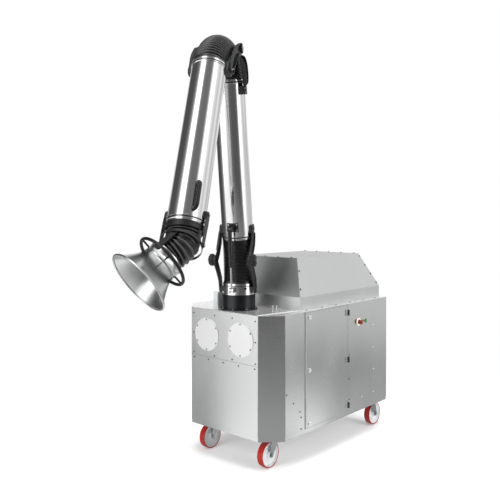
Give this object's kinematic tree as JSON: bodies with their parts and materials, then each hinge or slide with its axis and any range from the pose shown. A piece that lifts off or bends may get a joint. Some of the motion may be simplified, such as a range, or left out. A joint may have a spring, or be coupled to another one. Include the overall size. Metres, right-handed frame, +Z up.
{
  "type": "fume extraction arm",
  "caption": "Mobile fume filter cabinet on swivel castors with a jointed suction arm of polished tubes, ribbed hoses and a flared hood.",
  "frame": {"origin": "centre of the whole unit's box at floor level, with the arm in its stored pose", "axes": "+X along the cabinet away from the arm, +Y across it away from the door, +Z up"},
  "size_m": [2.4203, 0.9525, 2.5888],
  "materials": {
    "cabinet_steel": "satin",
    "deck_steel": "bright satin",
    "inner_steel": "mill finish",
    "bolt_steel": "dull",
    "zinc": "zinc plated",
    "polished_tube": "polished",
    "spun_hood": "polished",
    "black_bracket": "satin black",
    "dark_cast": "satin dark grey",
    "black_plastic": "matt",
    "hose_black": "matt",
    "seal_rubber": "matt",
    "wheel_grey": "satin",
    "tyre_red": "matt",
    "stop_red": "gloss",
    "start_green": "gloss",
    "filter_paper": "matt",
    "motor_grey": "satin",
    "box_grey": "satin",
    "rod_chrome": "polished"
  },
  "bodies": {
    "cabinet": {"base_frame": "deck_steel", "castor_plates": "zinc", "front_panel": "cabinet_steel", "inlet_panel": "cabinet_steel", "blanking_plates": "deck_steel", "corner_panels": "cabinet_steel", "side_panel_near": "cabinet_steel", "side_panel_far": "cabinet_steel", "control_panel": "cabinet_steel", "rear_panel": "cabinet_steel", "top_deck": "deck_steel", "filter_chamber": "inner_steel", "hopper_plate": "inner_steel", "filter_cassette": "filter_paper", "fan_housing": "cabinet_steel", "outlet_grille": "black_bracket", "fan_motor": "motor_grey", "cabinet_screws": "bolt_steel", "electrical_fittings": "black_plastic", "junction_box": "box_grey", "door_hinges": "black_plastic", "arm_flange": "dark_cast"},
    "fan": {"fan_wheel": "inner_steel"},
    "door_leaf": {"door": "cabinet_steel", "door_seal": "seal_rubber"},
    "lock_low": {"lock_low": "dark_cast"},
    "lock_middle": {"lock_middle": "dark_cast"},
    "lock_high": {"lock_high": "dark_cast"},
    "stop": {"emergency_stop": "stop_red"},
    "start": {"start_button": "start_green"},
    "castor_front_near": {"fork_front_near": "zinc"},
    "wheelset_front_near": {"wheel_front_near": "wheel_grey", "tyre_front_near": "tyre_red"},
    "castor_front_far": {"fork_front_far": "zinc"},
    "wheelset_front_far": {"wheel_front_far": "wheel_grey", "tyre_front_far": "tyre_red"},
    "castor_rear_near": {"fork_rear_near": "zinc"},
    "wheelset_rear_near": {"wheel_rear_near": "wheel_grey", "tyre_rear_near": "tyre_red"},
    "castor_rear_far": {"fork_rear_far": "zinc"},
    "wheelset_rear_far": {"wheel_rear_far": "wheel_grey", "tyre_rear_far": "tyre_red"},
    "swivel": {"swivel_ring": "polished_tube", "swivel_brackets": "black_bracket", "base_hose": "hose_black"},
    "knob_left": {"knob_left": "black_plastic"},
    "knob_right": {"knob_right": "black_plastic"},
    "inner_arm": {"inner_tube": "polished_tube", "inner_brackets": "black_bracket", "elbow_hose": "hose_black"},
    "spring_cylinder": {"gas_cylinder": "black_bracket"},
    "spring_rod": {"gas_rod": "rod_chrome"},
    "outer_arm": {"outer_tube": "polished_tube", "outer_brackets": "black_bracket", "bow_handle": "black_plastic", "hood_hose_upper": "hose_black"},
    "hood_ring": {"gimbal_ring": "black_bracket", "hood_hose_lower": "hose_black"},
    "hood_body": {"hood": "spun_hood", "hood_grip": "black_plastic"}
  },
  "joints": [
    {"name": "fan_spin", "type": "hinge", "parent": "cabinet", "child": "fan", "pos_m": [0.80818, 0.074, 1.032], "axis": [0, 0, 1], "continuous": true},
    {"name": "door_hinge", "type": "hinge", "parent": "cabinet", "child": "door_leaf", "pos_m": [0.64868, -0.334, 0.572], "axis": [0, 0, 1], "range_deg": [0, 110]},
    {"name": "lock_turn_low", "type": "hinge", "parent": "door_leaf", "child": "lock_low", "pos_m": [0.21818, -0.32599, 0.241], "axis": [0, -1, 0], "range_deg": [0, 90]},
    {"name": "lock_turn_middle", "type": "hinge", "parent": "door_leaf", "child": "lock_middle", "pos_m": [0.21818, -0.32599, 0.572], "axis": [0, 1, 0], "range_deg": [0, 90]},
    {"name": "lock_turn_high", "type": "hinge", "parent": "door_leaf", "child": "lock_high", "pos_m": [0.21818, -0.32599, 0.903], "axis": [0, 1, 0], "range_deg": [0, 90]},
    {"name": "stop_press", "type": "slide", "parent": "cabinet", "child": "stop", "axis": [0, 1, 0], "range_m": [0, 0.004]},
    {"name": "start_press", "type": "slide", "parent": "cabinet", "child": "start", "axis": [0, 1, 0], "range_m": [0, 0.003], "stiffness_N_per_m": 600},
    {"name": "castor_swivel_front_near", "type": "hinge", "parent": "cabinet", "child": "castor_front_near", "pos_m": [0.04518, -0.176, 0.176], "axis": [0, 0, 1], "continuous": true},
    {"name": "wheel_spin_front_near", "type": "hinge", "parent": "castor_front_near", "child": "wheelset_front_near", "pos_m": [-0.00482, -0.176, 0.08], "axis": [0, 1, 0], "continuous": true},
    {"name": "castor_swivel_front_far", "type": "hinge", "parent": "cabinet", "child": "castor_front_far", "pos_m": [0.04518, 0.324, 0.176], "axis": [0, 0, 1], "continuous": true},
    {"name": "wheel_spin_front_far", "type": "hinge", "parent": "castor_front_far", "child": "wheelset_front_far", "pos_m": [-0.00482, 0.324, 0.08], "axis": [0, 1, 0], "continuous": true},
    {"name": "castor_swivel_rear_near", "type": "hinge", "parent": "cabinet", "child": "castor_rear_near", "pos_m": [1.08018, -0.226, 0.176], "axis": [0, 0, 1], "continuous": true},
    {"name": "wheel_spin_rear_near", "type": "hinge", "parent": "castor_rear_near", "child": "wheelset_rear_near", "pos_m": [1.13018, -0.226, 0.08], "axis": [0, 1, 0], "continuous": true},
    {"name": "castor_swivel_rear_far", "type": "hinge", "parent": "cabinet", "child": "castor_rear_far", "pos_m": [1.08018, 0.374, 0.176], "axis": [0, 0, 1], "continuous": true},
    {"name": "wheel_spin_rear_far", "type": "hinge", "parent": "castor_rear_far", "child": "wheelset_rear_far", "pos_m": [1.13018, 0.374, 0.08], "axis": [0, 1, 0], "continuous": true},
    {"name": "arm_swivel", "type": "hinge", "parent": "cabinet", "child": "swivel", "pos_m": [0.00518, 0.074, 1.0383], "axis": [0, 0, 1], "range_deg": [-120, 120]},
    {"name": "knob_turn_left", "type": "hinge", "parent": "swivel", "child": "knob_left", "pos_m": [-0.17485, 0.1311, 1.26], "axis": [0.4368, -0.8996, 0], "range_deg": [-180, 180]},
    {"name": "knob_turn_right", "type": "hinge", "parent": "swivel", "child": "knob_right", "pos_m": [-0.06128, -0.10278, 1.26], "axis": [0.4368, -0.8996, 0], "range_deg": [-180, 180]},
    {"name": "lift", "type": "hinge", "parent": "swivel", "child": "inner_arm", "pos_m": [-0.11806, 0.01416, 1.26], "axis": [0.4368, -0.8996, 0], "range_deg": [-10, 40], "deforming": ["base_hose"]},
    {"name": "spring_swing", "type": "hinge", "parent": "inner_arm", "child": "spring_cylinder", "pos_m": [-0.17413, -0.01306, 1.44946], "axis": [0.4368, -0.8996, 0], "range_deg": [-26, 8]},
    {"name": "spring_stroke", "type": "slide", "parent": "spring_cylinder", "child": "spring_rod", "axis": [-0.0985, -0.0478, 0.994], "range_m": [-0.02, 0.06]},
    {"name": "elbow", "type": "hinge", "parent": "inner_arm", "child": "outer_arm", "pos_m": [-0.32886, -0.0882, 2.4991], "axis": [-0.4368, 0.8996, 0], "range_deg": [-10, 100], "deforming": ["elbow_hose"]},
    {"name": "hood_tilt", "type": "hinge", "parent": "outer_arm", "child": "hood_ring", "pos_m": [-0.87585, -0.3538, 1.39122], "axis": [-0.4368, 0.8996, 0], "range_deg": [-34, 20], "deforming": ["hood_hose_upper"]},
    {"name": "hood_turn", "type": "hinge", "parent": "hood_ring", "child": "hood_body", "pos_m": [-0.87585, -0.3538, 1.39122], "axis": [-0.6181, -0.3001, 0.7266], "range_deg": [-5, 65], "deforming": ["hood_hose_lower"]}
  ],
  "couplings": [
    {"joint": "spring_swing", "follows": "lift", "ratio": -0.48145},
    {"joint": "spring_stroke", "follows": "lift", "m_per_rad": 0.065031}
  ]
}
